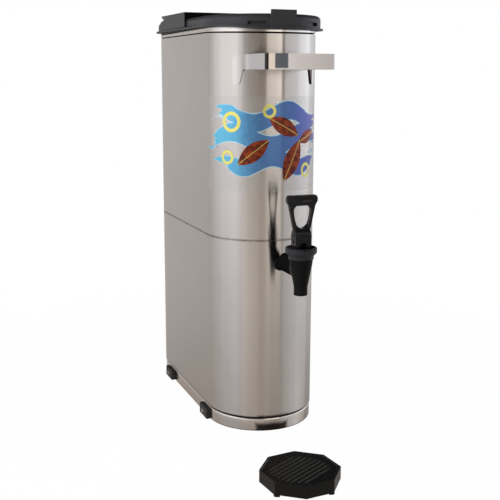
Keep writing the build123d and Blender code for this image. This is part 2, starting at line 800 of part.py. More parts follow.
def main():
    pieces = {
        "lower_shell": make_lower_shell(),
        "upper_shell": make_upper_shell(),
        "joining_ring": make_joining_ring(),
        "base_pan": make_base_pan(),
        "tank": make_tank(),
        "foot_front_left": make_foot(-1, foot_front_y),
        "foot_front_right": make_foot(1, foot_front_y),
        "foot_rear_left": make_foot(-1, foot_rear_y),
        "foot_rear_right": make_foot(1, foot_rear_y),
        "foot_rivets": make_foot_rivets(),
        "front_handle": make_front_handle(),
        "front_label": make_front_label(),
        "lid": make_lid(),
        "tap_body": make_tap_body(),
        "tap_bonnet": make_tap_bonnet(),
        "outer_gasket": make_outer_gasket(),
        "inner_gasket": make_inner_gasket(),
        "shank_nut": make_shank_nut(),
        "seat_cup": make_seat_cup(),
        "tap_stem": make_tap_stem(),
        "spring_washer": make_spring_washer(),
        "tap_spring": make_tap_spring(),
        "handle_pin": make_handle_pin(),
        "tap_handle": make_tap_handle(),
        "tray_cup": make_tray_cup(),
        "tray_grille": make_tray_grille(),
    }
    os.makedirs("parts", exist_ok=True)
    for name, piece in pieces.items():
        export_step(piece, f"parts/{name}.step")


main()
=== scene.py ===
import bpy
import json
import math
from mathutils import Matrix, Vector


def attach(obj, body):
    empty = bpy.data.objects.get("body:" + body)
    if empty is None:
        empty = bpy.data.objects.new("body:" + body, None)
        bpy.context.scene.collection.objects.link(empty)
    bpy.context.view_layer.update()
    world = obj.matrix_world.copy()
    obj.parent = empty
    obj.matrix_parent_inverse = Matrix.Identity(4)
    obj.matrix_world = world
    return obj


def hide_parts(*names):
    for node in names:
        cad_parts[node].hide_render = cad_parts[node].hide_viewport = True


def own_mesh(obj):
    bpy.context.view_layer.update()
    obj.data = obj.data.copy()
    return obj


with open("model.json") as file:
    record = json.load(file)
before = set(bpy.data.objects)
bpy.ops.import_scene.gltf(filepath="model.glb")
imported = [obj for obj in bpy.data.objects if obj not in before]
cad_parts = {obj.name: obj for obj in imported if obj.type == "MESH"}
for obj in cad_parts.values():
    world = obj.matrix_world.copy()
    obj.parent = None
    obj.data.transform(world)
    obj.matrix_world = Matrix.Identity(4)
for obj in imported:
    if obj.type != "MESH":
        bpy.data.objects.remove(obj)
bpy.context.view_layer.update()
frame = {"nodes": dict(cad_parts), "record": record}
mm = 0.001
urn = {                                 # driving sizes of the body, in metres
    "halfStraight": 104.3 * mm,
    "radius": 75.0 * mm,
    "wall": 0.8 * mm,
    "tapY": -248.5 * mm,
}
wallFrontY = -(urn["halfStraight"] + urn["radius"])
print("stage 1: frame loaded,", len(frame["nodes"]), "nodes")


# Camera: the photograph's place, aim and lens
cameraSettings = {
    "place": (-457.33 * mm, -1251.87 * mm, 485.32 * mm),
    "turn": 21.179,                     # degrees from the urn's length towards its right side
    "lookDown": 11.270,
    "roll": 0.165,
    "lens": 64.6,
}


def makeCamera(s):
    data = bpy.data.cameras.new("photoCamera")
    camera = bpy.data.objects.new("photoCamera", data)
    bpy.context.scene.collection.objects.link(camera)
    turn, down, roll = (math.radians(s[key]) for key in ("turn", "lookDown", "roll"))
    forward = Vector((math.sin(turn) * math.cos(down), math.cos(turn) * math.cos(down), -math.sin(down)))
    level = Vector((math.cos(turn), -math.sin(turn), 0))
    upright = level.cross(forward)
    right = math.cos(roll) * level + math.sin(roll) * upright
    up = math.cos(roll) * upright - math.sin(roll) * level
    aim = Matrix((right, up, -forward)).transposed().to_4x4()
    camera.matrix_world = Matrix.Translation(s["place"]) @ aim
    data.lens = s["lens"]
    data.sensor_width = 36.0
    data.sensor_fit = "HORIZONTAL"
    data.clip_start = 0.05
    bpy.context.scene.camera = camera


makeCamera(cameraSettings)
bpy.context.scene.view_settings.view_transform = "Standard"
print("stage 2: camera set")


# Shader helpers
def link(tree, source, target):
    tree.links.new(source, target)


def addNode(tree, kind, place, **values):
    node = tree.nodes.new(kind)
    node.location = place
    for name, value in values.items():
        setattr(node, name, value)
    return node


def setInputs(node, **values):
    for name, value in values.items():
        node.inputs[name.replace("_", " ")].default_value = value


def calc(tree, operation, *values):
    node = addNode(tree, "ShaderNodeMath", (0, 0), operation=operation)
    for socket, value in zip(node.inputs, values):
        if isinstance(value, (int, float)):
            socket.default_value = value
        else:
            link(tree, value, socket)
    return node.outputs[0]


def fade(tree, value, low, high):                # 0 below low, 1 above high, smooth between
    node = addNode(tree, "ShaderNodeMapRange", (0, 0), interpolation_type="SMOOTHSTEP")
    setInputs(node, From_Min=low, From_Max=high)
    link(tree, value, node.inputs["Value"])
    return node.outputs[0]


def blendColour(tree, share, first, second):
    node = addNode(tree, "ShaderNodeMix", (0, 0), data_type="RGBA")
    for socket, value in zip((node.inputs[0], node.inputs[6], node.inputs[7]), (share, first, second)):
        if isinstance(value, (int, float)):
            socket.default_value = value
        elif isinstance(value, tuple):
            socket.default_value = (*value, 1)
        else:
            link(tree, value, socket)
    return node.outputs[2]


def noise(tree, place, scale, detail=2.0, roughness=0.5):
    node = addNode(tree, "ShaderNodeTexNoise", (0, 0))
    setInputs(node, Scale=scale, Detail=detail, Roughness=roughness)
    link(tree, place, node.inputs["Vector"])
    return node.outputs["Fac"]


def stretched(tree, place, scale):
    node = addNode(tree, "ShaderNodeMapping", (0, 0))
    node.inputs["Scale"].default_value = scale
    link(tree, place, node.inputs["Vector"])
    return node.outputs[0]


def scaledColour(tree, colour, gain):
    node = addNode(tree, "ShaderNodeVectorMath", (0, 0), operation="SCALE")
    link(tree, colour, node.inputs[0])
    link(tree, gain, node.inputs["Scale"])
    return node.outputs[0]


def bump(tree, height, strength, distance):
    node = addNode(tree, "ShaderNodeBump", (0, 0))
    setInputs(node, Distance=distance)
    link(tree, strength, node.inputs["Strength"])
    link(tree, height, node.inputs["Height"])
    return node.outputs[0]


surfaceOutputs = [
    ("Colour", "NodeSocketColor"),
    ("Roughness", "NodeSocketFloat"),
    ("Normal", "NodeSocketVector"),
]


def newGroup(name, inputs, outputs=surfaceOutputs):
    group = bpy.data.node_groups.new(name, "ShaderNodeTree")
    for socketName, kind, value in inputs:
        socket = group.interface.new_socket(socketName, in_out="INPUT", socket_type=kind)
        socket.default_value = value
    for socketName, kind in outputs:
        group.interface.new_socket(socketName, in_out="OUTPUT", socket_type=kind)
    entry = addNode(group, "NodeGroupInput", (-900, 0))
    leave = addNode(group, "NodeGroupOutput", (700, 0))
    return group, entry.outputs, leave.inputs


def newMaterial(name):
    material = bpy.data.materials.new(name)
    material.use_nodes = True
    tree = material.node_tree
    return material, tree, tree.nodes["Principled BSDF"]


def placeGroup(tree, group, **values):
    node = addNode(tree, "ShaderNodeGroup", (-300, 0))
    node.node_tree = group
    setInputs(node, **values)
    return node


# Satin sheet steel: drawn grain, faint waves of the sheet, wiped and handled patches
steelPattern = {
    "lineScale": 2600, "lineStretch": (1, 1, 0.02),
    "patchScale": 16, "wipeScale": 55, "wipeStretch": (1, 1, 0.35), "wipeShare": 0.6,
    "grainRoughness": 0.3, "markRoughness": 0.5,
    "sheetScale": 5, "sheetDepth": 4.0 * mm,
}


def makeSteelGrain(s):
    group, given, made = newGroup("steelGrain", [
        ("Coordinates", "NodeSocketVector", (0, 0, 0)),
        ("Colour", "NodeSocketColor", (0.5, 0.5, 0.5, 1)),
        ("Roughness", "NodeSocketFloat", 0.3),
        ("Grain", "NodeSocketFloat", 0.1),
        ("Wobble", "NodeSocketFloat", 0.1),
        ("Smudges", "NodeSocketFloat", 0.1),
    ])
    place = given["Coordinates"]
    drawn = stretched(group, place, s["lineStretch"])
    wiped = stretched(group, place, s["wipeStretch"])
    lines = calc(group, "SUBTRACT", noise(group, drawn, s["lineScale"]), 0.5)
    patches = calc(group, "SUBTRACT", noise(group, place, s["patchScale"], 4, 0.6), 0.5)
    wipes = calc(group, "SUBTRACT", noise(group, wiped, s["wipeScale"], 3), 0.5)
    marks = calc(group, "MULTIPLY_ADD", wipes, s["wipeShare"], patches)
    grainPart = calc(group, "MULTIPLY", lines, given["Grain"])
    markPart = calc(group, "MULTIPLY", marks, given["Smudges"])
    gain = calc(group, "ADD", calc(group, "ADD", grainPart, markPart), 1.0)
    link(group, scaledColour(group, given["Colour"], gain), made["Colour"])
    rough = calc(group, "MULTIPLY_ADD", markPart, s["markRoughness"], given["Roughness"])
    link(group, calc(group, "MULTIPLY_ADD", grainPart, s["grainRoughness"], rough), made["Roughness"])
    sheet = noise(group, place, s["sheetScale"], 1)
    link(group, bump(group, sheet, given["Wobble"], s["sheetDepth"]), made["Normal"])
    return group


# Dirt along a level joint of the sheets; the same darkening also paints shade into the gaps at some joints
grimeAndShadePattern = {
    "scale": 120, "stretch": (1, 1, 0.3), "spots": (0.35, 0.65), "spotShare": 0.6, "edge": 0.7,
    "colour": (0.05, 0.036, 0.026),
}


def makeJointGrimeAndShade(s):
    group, given, made = newGroup("jointGrimeAndShade", [
        ("Coordinates", "NodeSocketVector", (0, 0, 0)),
        ("Colour", "NodeSocketColor", (0.5, 0.5, 0.5, 1)),
        ("Height", "NodeSocketFloat", 0.0),
        ("Reach", "NodeSocketFloat", 0.001),
        ("Strength", "NodeSocketFloat", 0.5),
    ], [("Colour", "NodeSocketColor")])
    split = addNode(group, "ShaderNodeSeparateXYZ", (0, 0))
    link(group, given["Coordinates"], split.inputs[0])
    away = calc(group, "ABSOLUTE", calc(group, "SUBTRACT", split.outputs["Z"], given["Height"]))
    near = calc(group, "SUBTRACT", 1.0, calc(group, "DIVIDE", away, given["Reach"]))
    cloud = noise(group, stretched(group, given["Coordinates"], s["stretch"]), s["scale"], 3)
    spots = calc(group, "MULTIPLY_ADD", fade(group, cloud, *s["spots"]), s["spotShare"], 1 - s["spotShare"])
    amount = calc(group, "MULTIPLY", fade(group, near, 0.0, s["edge"]), spots)
    share = calc(group, "MULTIPLY", amount, given["Strength"])
    link(group, blendColour(group, share, given["Colour"], s["colour"]), made["Colour"])
    return group


# A patch of another tone that keeps its place on the piece, given by the corners of its box; used for
# plain tones as well as for painted shade and painted reflections
patchPattern = {"edgeScale": 260, "ragged": 0.6}


def makePlacedPatch(s):
    group, given, made = newGroup("placedPatch", [
        ("Coordinates", "NodeSocketVector", (0, 0, 0)),
        ("Colour", "NodeSocketColor", (0.5, 0.5, 0.5, 1)),
        ("Low", "NodeSocketVector", (0, 0, 0)),
        ("High", "NodeSocketVector", (0, 0, 0)),
        ("Soft", "NodeSocketFloat", 0.001),
        ("Stain", "NodeSocketColor", (0.02, 0.02, 0.02, 1)),
        ("Strength", "NodeSocketFloat", 0.8),
    ], [("Colour", "NodeSocketColor")])
    parts = []
    for source in (given["Coordinates"], given["Low"], given["High"]):
        split = addNode(group, "ShaderNodeSeparateXYZ", (0, 0))
        link(group, source, split.inputs[0])
        parts.append(split.outputs)
    ragged = calc(group, "SUBTRACT", noise(group, given["Coordinates"], s["edgeScale"], 3), 0.5)
    depth = 1.0
    for axis in range(3):
        value, low, high = (part[axis] for part in parts)
        inLow = calc(group, "DIVIDE", calc(group, "SUBTRACT", value, low), given["Soft"])
        inHigh = calc(group, "DIVIDE", calc(group, "SUBTRACT", high, value), given["Soft"])
        depth = calc(group, "MINIMUM", calc(group, "MINIMUM", inLow, inHigh), depth)
    share = fade(group, calc(group, "MULTIPLY_ADD", ragged, s["ragged"], depth), 0.0, 1.0)
    amount = calc(group, "MULTIPLY", share, given["Strength"])
    link(group, blendColour(group, amount, given["Colour"], given["Stain"]), made["Colour"])
    return group


# Black moulding: fine mould texture, rubbed patches and specks of dust
skinPattern = {
    "cloudScale": 45, "cloudRoughness": 0.10,
    "speckScale": 900, "specks": (0.64, 0.76), "dustColour": (0.30, 0.29, 0.27),
    "textureScale": 1400, "textureDepth": 0.08 * mm,
}


def makeMouldedSkin(s):
    group, given, made = newGroup("mouldedSkin", [
        ("Coordinates", "NodeSocketVector", (0, 0, 0)),
        ("Colour", "NodeSocketColor", (0.02, 0.02, 0.02, 1)),
        ("Roughness", "NodeSocketFloat", 0.3),
        ("Rubbed", "NodeSocketFloat", 0.1),
        ("Dust", "NodeSocketFloat", 0.05),
        ("Texture", "NodeSocketFloat", 0.1),
    ])
    place = given["Coordinates"]
    cloud = calc(group, "SUBTRACT", noise(group, place, s["cloudScale"], 4, 0.6), 0.5)
    specks = fade(group, noise(group, place, s["speckScale"], 1), *s["specks"])
    dustPart = calc(group, "MULTIPLY", specks, given["Dust"])
    gain = calc(group, "ADD", calc(group, "MULTIPLY", cloud, given["Rubbed"]), 1.0)
    rubbed = scaledColour(group, given["Colour"], gain)
    link(group, blendColour(group, dustPart, rubbed, s["dustColour"]), made["Colour"])
    rough = calc(group, "MULTIPLY_ADD", cloud, s["cloudRoughness"], given["Roughness"])
    link(group, calc(group, "ADD", rough, dustPart), made["Roughness"])
    texture = noise(group, place, s["textureScale"])
    link(group, bump(group, texture, given["Texture"], s["textureDepth"]), made["Normal"])
    return group


steelGrain = makeSteelGrain(steelPattern)
jointGrimeAndShade = makeJointGrimeAndShade(grimeAndShadePattern)
placedPatch = makePlacedPatch(patchPattern)
mouldedSkin = makeMouldedSkin(skinPattern)


def useSurface(tree, effect, shader):
    for output, target in (("Colour", "Base Color"), ("Roughness", "Roughness"), ("Normal", "Normal")):
        link(tree, effect.outputs[output], shader.inputs[target])


# Steel: joints lists the heights of darker joint lines, dirt at some and painted shade at others, as
# (height, reach, strength), and patches lists placed tones, among them painted shade and painted
# reflections, as (low corner, high corner, soft edge, colour, strength) with lengths in millimetres
def steelMaterial(
    name, colour, roughness, anisotropy, grain=0.08, wobble=0.1, smudges=0.11, joints=(), patches=(),
):
    material, tree, shader = newMaterial(name)
    place = addNode(tree, "ShaderNodeTexCoord", (-700, 0)).outputs["Object"]
    effect = placeGroup(
        tree, steelGrain,
        Colour=(*colour, 1), Roughness=roughness, Grain=grain, Wobble=wobble, Smudges=smudges,
    )
    link(tree, place, effect.inputs["Coordinates"])
    useSurface(tree, effect, shader)
    last = effect.outputs["Colour"]
    for height, reach, strength in joints:
        grimeAndShade = placeGroup(tree, jointGrimeAndShade, Height=height, Reach=reach, Strength=strength)
        link(tree, place, grimeAndShade.inputs["Coordinates"])
        link(tree, last, grimeAndShade.inputs["Colour"])
        last = grimeAndShade.outputs["Colour"]
    for low, high, soft, patchTone, strength in patches:
        low, high = ([value * mm for value in corner] for corner in (low, high))
        patch = placeGroup(
            tree, placedPatch,
            Low=low, High=high, Soft=soft * mm, Stain=(*patchTone, 1), Strength=strength,
        )
        link(tree, place, patch.inputs["Coordinates"])
        link(tree, last, patch.inputs["Colour"])
        last = patch.outputs["Colour"]
    link(tree, last, shader.inputs["Base Color"])
    setInputs(shader, Metallic=1.0, Anisotropic=anisotropy, Anisotropic_Rotation=0.25)
    if anisotropy:
        around = addNode(tree, "ShaderNodeTangent", (-300, -300), direction_type="RADIAL", axis="Z")
        link(tree, around.outputs[0], shader.inputs["Tangent"])
    return material


def plasticMaterial(name, colour, roughness, rubbed=0.3, dust=0.02, texture=0.15, specular=0.3):
    material, tree, shader = newMaterial(name)
    place = addNode(tree, "ShaderNodeTexCoord", (-700, 0)).outputs["Object"]
    effect = placeGroup(
        tree, mouldedSkin,
        Colour=(*colour, 1), Roughness=roughness, Rubbed=rubbed, Dust=dust, Texture=texture,
    )
    link(tree, place, effect.inputs["Coordinates"])
    useSurface(tree, effect, shader)
    setInputs(shader, Specular_IOR_Level=specular)
    return material


seamZ = 266.4 * mm
wrapFootZ = 20.7 * mm
wrapTopZ = 534.6 * mm
# Darker lines on the wraps: dirt along the seam, painted shade in the gaps at their foot and top edge
wrapJoints = ((seamZ, 2.6 * mm, 0.42), (wrapFootZ, 1.4 * mm, 0.8), (wrapTopZ, 0.9 * mm, 0.5))
# Painted shade on the front of the wraps, just above their foot
footStain = ((-30, -199, 10), (19, -150, 25), 5.0, (0.015, 0.011, 0.008), 0.85)
wrapSteel = steelMaterial("wrapSteel", (0.62, 0.60, 0.57), 0.20, 0.9, joints=wrapJoints, patches=(footStain,))
# Painted reflection of the dark tray on the band's front; neckShade is painted shade on the neck under the
# wraps
bandStain = ((-33, -199, -12), (18, -140, 14.5), 7.0, (0.014, 0.012, 0.010), 0.96)
neckShade = ((-99, -199, 18.2), (99, 199, 35), 0.6, (0.016, 0.012, 0.010), 1.0)
# The band also darkens towards its bottom edge
bandSteel = steelMaterial(
    "bandSteel", (0.74, 0.71, 0.68), 0.16, 0.3,
    joints=((0.0, 3.0 * mm, 0.7),), patches=(bandStain, neckShade),
)
# The ring behind the seam is painted dark as shade in the seam, and lighter brown towards the front
ringStain = ((-90, -190, 200), (90, -128, 300), 6.0, (0.60, 0.46, 0.39), 1.0)
ringShadeSteel = steelMaterial("ringShadeSteel", (0.10, 0.09, 0.08), 0.5, 0.0, patches=(ringStain,))
tankSteel = steelMaterial("tankSteel", (0.70, 0.685, 0.66), 0.2, 0.3)
shadedSteel = steelMaterial("shadedSteel", (0.012, 0.010, 0.008), 0.7, 0.0)
# Painted reflections and shade on the strap: a greyer painted reflection on its front run, a painted
# highlight on its left arm, a tan painted reflection at the left bend with a painted line of shade in it, a
# dark painted reflection on the front, painted shade beside the right tab, a darker left tab
strapStains = (
    ((-60, -246, 470), (60, -240.7, 520), 0.4, (0.51, 0.505, 0.505), 1.0),          # front run
    ((-60, -240.5, 480), (0, -172, 520), 0.8, (0.76, 0.76, 0.78), 1.0),             # left arm
    ((-46, -246, 480), (-34.0, -236, 510), 0.8, (0.56, 0.51, 0.455), 0.9),          # left bend
    ((-46.2, -246, 480), (-42.9, -236, 510), 0.5, (0.012, 0.011, 0.010), 0.97),     # its dark line
    ((-35.6, -248, 488.3), (-16.8, -237, 514), 1.7, (0.070, 0.082, 0.10), 0.97),    # dark patch
    ((30, -242, 440), (52, -120, 488), 0.6, (0.035, 0.016, 0.010), 0.95),           # right tab
    ((-70, -174, 440), (-30, -120, 520), 1.5, (0.57, 0.55, 0.54), 0.9),             # left tab
)
strapSteel = steelMaterial(
    "strapSteel", (0.66, 0.635, 0.62), 0.2, 0.0, grain=0.15, smudges=0.12, patches=strapStains,
)
rivetSteel = steelMaterial("rivetSteel", (0.60, 0.55, 0.52), 0.35, 0.0)
springSteel = steelMaterial("springSteel", (0.62, 0.61, 0.60), 0.18, 0.0)
lidPlastic = plasticMaterial("lidPlastic", (0.029, 0.029, 0.032), 0.42, texture=0.5, specular=0.25)
shadedPlastic = plasticMaterial(
    "shadedPlastic", (0.004, 0.004, 0.004), 0.6, rubbed=0.0, dust=0.0, specular=0.0,
)
tapPlastic = plasticMaterial("tapPlastic", (0.0055, 0.0055, 0.0055), 0.32, specular=0.06)
bonnetPlastic = plasticMaterial("bonnetPlastic", (0.017, 0.018, 0.021), 0.40, texture=0.4, specular=0.2)
leverPlastic = plasticMaterial("leverPlastic", (0.006, 0.006, 0.0065), 0.14, specular=0.22)
trayPlastic = plasticMaterial(
    "trayPlastic", (0.0035, 0.0035, 0.003), 0.2, dust=0.0, texture=0.02, specular=0.25,
)
footRubber = plasticMaterial("footRubber", (0.030, 0.028, 0.025), 0.6, texture=0.6, specular=0.2)
gasketRubber = plasticMaterial("gasketRubber", (0.008, 0.008, 0.008), 0.55, specular=0.1)
nutPlastic = plasticMaterial("nutPlastic", (0.03, 0.03, 0.03), 0.5)
# The stem is painted near black so that what shows through the lever's slot reads as shade
stemPlastic = plasticMaterial("stemPlastic", (0.006, 0.006, 0.006), 0.35, specular=0.12)
cupSilicone = plasticMaterial("cupSilicone", (0.66, 0.65, 0.61), 0.45, rubbed=0.1)
print("stage 3: metals and plastics made")


# Printed film: broad waves, leaves and rings in plain inks, read from a map in millimetres
printSettings = {
    "waves": [          # middle height, swing, wave length, shift, half width, left end, right end
        (97, 8, 92, 12, 12.0, -92, 74),
        (68, 9, 104, -14, 13.5, -101, 70),
        (38, 7, 80, 30, 12.0, -84, 66),
    ],
    "leaves": [         # across, up, half length, half width, turn in degrees
        (-36, 51, 27, 11.5, 38),
        (6, 84, 25, 11.0, -28),
        (18, 40, 30, 12.5, 64),
        (46, 70, 19, 8.5, 20),
    ],
    "rings": [          # across, up, radius, half width
        (-66, 90, 11.0, 2.6),
        (-15, 104, 7.0, 2.2),
        (-72, 44, 7.5, 2.2),
        (44, 26, 8.0, 2.2),
    ],
    "cyan": (0.11, 0.42, 0.60),
    "blue": (0.075, 0.17, 0.38),
    "violet": (0.085, 0.10, 0.33),
    "amber": (0.27, 0.045, 0.012),
    "russet": (0.085, 0.012, 0.008),
    "yellow": (0.64, 0.60, 0.15),
    "film": (0.70, 0.70, 0.70),
    "pale": (0.42, 0.62, 0.70),
    "border": 1.3,
    "bristle": 62.0,
    "bristleStretch": (0.006, 0.17, 1),
    "cloudScale": 0.13,
    "cloudDrift": 40,
    "toBlue": (-70, 5),                 # where along the print one ink gives way to the next
    "toViolet": (10, 75),
    "toAmber": (0.38, 0.62),
    "ribShare": 0.55,
    "filmCover": 0.07,
    "inkCover": 0.95,
}
inkEdge = 0.6                           # how softly a printed edge ends, in millimetres
ribEdge = (0.35, 0.8)


def bulge(tree, share):                          # 1 in the middle, 0 at both ends
    return calc(tree, "SUBTRACT", 1.0, calc(tree, "MULTIPLY", share, share))


def waveMask(tree, across, up, brush, grow, middle, swing, waveLength, shift, halfWidth, leftEnd, rightEnd):
    centre, reach = (leftEnd + rightEnd) / 2, (rightEnd - leftEnd) / 2
    angle = calc(tree, "MULTIPLY", calc(tree, "ADD", across, shift), 2 * math.pi / waveLength)
    crest = calc(tree, "MULTIPLY_ADD", calc(tree, "SINE", angle), swing, middle)
    away = calc(tree, "ABSOLUTE", calc(tree, "SUBTRACT", up, crest))
    brushed = calc(tree, "ADD", across, brush)
    share = calc(tree, "DIVIDE", calc(tree, "SUBTRACT", brushed, centre), reach + grow)
    blunt = calc(tree, "POWER", calc(tree, "MAXIMUM", bulge(tree, share), 0.0), 0.25)
    width = calc(tree, "MULTIPLY", blunt, halfWidth + grow)
    return fade(tree, calc(tree, "SUBTRACT", width, away), 0.0, inkEdge)


def turned(tree, across, up, middleX, middleY, degrees):
    cosine, sine = math.cos(math.radians(degrees)), math.sin(math.radians(degrees))
    x, y = calc(tree, "SUBTRACT", across, middleX), calc(tree, "SUBTRACT", up, middleY)
    along = calc(tree, "MULTIPLY_ADD", x, cosine, calc(tree, "MULTIPLY", y, sine))
    beside = calc(tree, "MULTIPLY_ADD", y, cosine, calc(tree, "MULTIPLY", x, -sine))
    return along, beside


def leafMask(tree, across, up, middleX, middleY, halfLength, halfWidth, degrees):
    along, beside = turned(tree, across, up, middleX, middleY, degrees)
    width = calc(tree, "MULTIPLY", bulge(tree, calc(tree, "DIVIDE", along, halfLength)), halfWidth)
    away = calc(tree, "ABSOLUTE", beside)
    body = fade(tree, calc(tree, "SUBTRACT", width, away), 0.0, inkEdge)
    rib = calc(tree, "SUBTRACT", 1.0, fade(tree, away, *ribEdge))
    return body, calc(tree, "MULTIPLY", rib, body)


def ringMask(tree, across, up, middleX, middleY, radius, halfWidth):
    x, y = calc(tree, "SUBTRACT", across, middleX), calc(tree, "SUBTRACT", up, middleY)
    far = calc(tree, "SQRT", calc(tree, "MULTIPLY_ADD", x, x, calc(tree, "MULTIPLY", y, y)))
    away = calc(tree, "ABSOLUTE", calc(tree, "SUBTRACT", far, radius))
    return fade(tree, calc(tree, "SUBTRACT", halfWidth, away), 0.0, inkEdge)


def widest(tree, masks):
    total = masks[0]
    for mask in masks[1:]:
        total = calc(tree, "MAXIMUM", total, mask)
    return total


def makeFilmMaterial(s):
    material, tree, shader = newMaterial("printedFilm")
    place = addNode(tree, "ShaderNodeUVMap", (-1200, 0), uv_map="printMap").outputs[0]
    split = addNode(tree, "ShaderNodeSeparateXYZ", (-1000, 0))
    link(tree, place, split.inputs[0])
    across, up = split.outputs["X"], split.outputs["Y"]
    streaks = noise(tree, stretched(tree, place, s["bristleStretch"]), 1.0, 1)
    bristles = calc(tree, "SUBTRACT", streaks, 0.5)
    brush = calc(tree, "MULTIPLY", bristles, s["bristle"])
    waves = widest(tree, [waveMask(tree, across, up, brush, 0.0, *wave) for wave in s["waves"]])
    border = widest(tree, [waveMask(tree, across, up, brush, s["border"], *wave) for wave in s["waves"]])
    leafParts = [leafMask(tree, across, up, *leaf) for leaf in s["leaves"]]
    leaves = widest(tree, [body for body, rib in leafParts])
    ribs = widest(tree, [rib for body, rib in leafParts])
    rings = widest(tree, [ringMask(tree, across, up, *ring) for ring in s["rings"]])
    cloud = noise(tree, place, s["cloudScale"], 4, 0.65)
    drift = calc(tree, "MULTIPLY_ADD", cloud, s["cloudDrift"], across)
    water = blendColour(tree, fade(tree, drift, *s["toBlue"]), s["cyan"], s["blue"])
    water = blendColour(tree, fade(tree, drift, *s["toViolet"]), water, s["violet"])
    tea = blendColour(tree, fade(tree, cloud, *s["toAmber"]), s["russet"], s["amber"])
    tea = blendColour(tree, calc(tree, "MULTIPLY", ribs, s["ribShare"]), tea, s["yellow"])
    colour = blendColour(tree, border, s["film"], s["pale"])
    colour = blendColour(tree, waves, colour, water)
    colour = blendColour(tree, leaves, colour, tea)
    colour = blendColour(tree, rings, colour, s["yellow"])
    ink = widest(tree, [border, leaves, rings])
    cover = calc(tree, "MULTIPLY_ADD", ink, s["inkCover"] - s["filmCover"], s["filmCover"])
    link(tree, colour, shader.inputs["Base Color"])
    link(tree, cover, shader.inputs["Alpha"])
    setInputs(shader, Metallic=0.55, Roughness=0.24, Specular_IOR_Level=0.4)
    return material


filmPrint = makeFilmMaterial(printSettings)
print("stage 4: printed film made")


# Modelling helpers
mergeGap = 0.002 * mm
flatAngle = 0.5                         # degrees between triangles that are one flat face


def clearSelection():
    if bpy.context.object and bpy.context.object.mode != "OBJECT":
        bpy.ops.object.mode_set(mode="OBJECT")
    bpy.ops.object.select_all(action="DESELECT")


def pickUp(piece):
    clearSelection()
    piece.select_set(True)
    bpy.context.view_layer.objects.active = piece


def applyModifier(piece, kind, **settings):
    pickUp(piece)
    modifier = piece.modifiers.new(kind.title(), kind)
    for name, value in settings.items():
        setattr(modifier, name, value)
    bpy.ops.object.modifier_apply(modifier=modifier.name)


def settle(piece):
    pickUp(piece)
    bpy.ops.object.transform_apply(location=True, rotation=True, scale=True)


def smooth(piece, angle=30):
    pickUp(piece)
    bpy.ops.object.shade_smooth_by_angle(angle=math.radians(angle))


# Selects by place and leaves the piece in edit mode
def choose(piece, kind, test):
    pickUp(piece)
    bpy.ops.object.mode_set(mode="EDIT")
    bpy.ops.mesh.select_mode(type=kind)
    bpy.ops.mesh.select_all(action="DESELECT")
    bpy.ops.object.mode_set(mode="OBJECT")
    mesh = piece.data
    if kind == "VERT":
        for vertex in mesh.vertices:
            vertex.select = test(vertex.co)
    else:
        for face in mesh.polygons:
            face.select = test(face.center, face.normal)
    bpy.ops.object.mode_set(mode="EDIT")


def mend(piece):
    pickUp(piece)
    bpy.ops.object.mode_set(mode="EDIT")
    bpy.ops.mesh.select_mode(type="VERT")
    bpy.ops.mesh.select_all(action="SELECT")
    bpy.ops.mesh.remove_doubles(threshold=mergeGap)
    bpy.ops.mesh.normals_make_consistent(inside=False)
    bpy.ops.object.mode_set(mode="OBJECT")


def dress(piece, node, material):
    piece.data.materials.clear()
    piece.data.materials.append(material)
    body = next(name for name, nodes in frame["record"]["behaviour"]["bodies"].items() if node in nodes)
    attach(piece, body)
    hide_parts(node)
    print("  made", piece.name)
    return piece


# A round tub raised ring by ring along a wall section, then pulled apart into a stadium
def raiseTub(name, section, closed=True, sides=128):
    radius, height = section[0]
    clearSelection()
    bpy.ops.mesh.primitive_circle_add(
        vertices=sides, radius=radius, location=(0, 0, height), rotation=(0, 0, math.pi / sides)
    )
    tub = bpy.context.object
    tub.name = name
    settle(tub)
    bpy.ops.object.mode_set(mode="EDIT")
    bpy.ops.mesh.select_mode(type="EDGE")
    bpy.ops.mesh.select_all(action="SELECT")
    for nextRadius, nextHeight in section[1:] + (section[:1] if closed else []):
        bpy.ops.mesh.extrude_edges_move(TRANSFORM_OT_translate={"value": (0, 0, nextHeight - height)})
        share = nextRadius / radius
        bpy.ops.transform.resize(value=(share, share, 1), center_override=(0, 0, nextHeight))
        radius, height = nextRadius, nextHeight
    if not closed:
        bpy.ops.mesh.select_all(action="SELECT")
        bpy.ops.mesh.fill_holes(sides=0)
    bpy.ops.object.mode_set(mode="OBJECT")
    mend(tub)
    for side in (-1, 1):
        choose(tub, "VERT", lambda co: co.y * side > 0)
        bpy.ops.transform.translate(value=(0, side * urn["halfStraight"], 0))
        bpy.ops.object.mode_set(mode="OBJECT")
    return tub


def wrapSection(low, high, ease):
    outer, inner = urn["radius"], urn["radius"] - urn["wall"]
    return [
        (outer - ease, low), (outer, low + ease), (outer, high - ease), (outer - ease, high),
        (inner, high), (inner, low),
    ]


